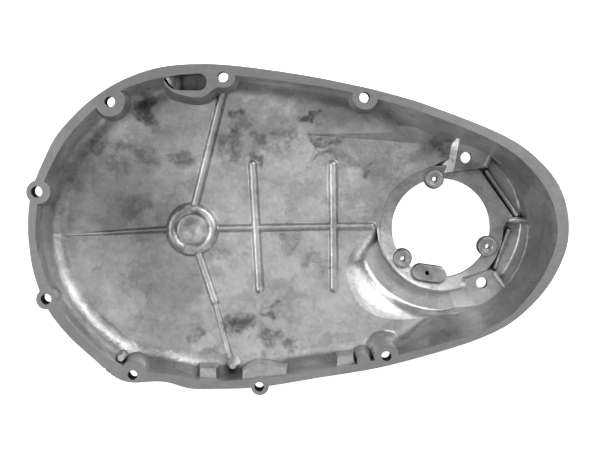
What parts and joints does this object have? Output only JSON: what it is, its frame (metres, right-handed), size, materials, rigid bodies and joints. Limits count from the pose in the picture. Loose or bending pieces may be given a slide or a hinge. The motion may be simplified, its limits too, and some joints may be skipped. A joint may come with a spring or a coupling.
{
  "type": "primary chaincase cover",
  "caption": "Oval cast aluminium cover for a motorcycle primary drive, open-backed, with a flat gasket rim, screw columns, a round inspection opening and a ribbed floor.",
  "frame": {"origin": "centre of the bounding box at its base, which is the outer face of the alternator boss", "axes": "+X to the alternator end along the length, +Y to the top edge as fitted, +Z out of the open side, square to the gasket face"},
  "size_m": [0.3999, 0.2443, 0.047],
  "materials": {
    "casting": "as-cast satin with a machined rim"
  },
  "bodies": {
    "root": {"primary_cover": "casting"}
  },
  "joints": []
}
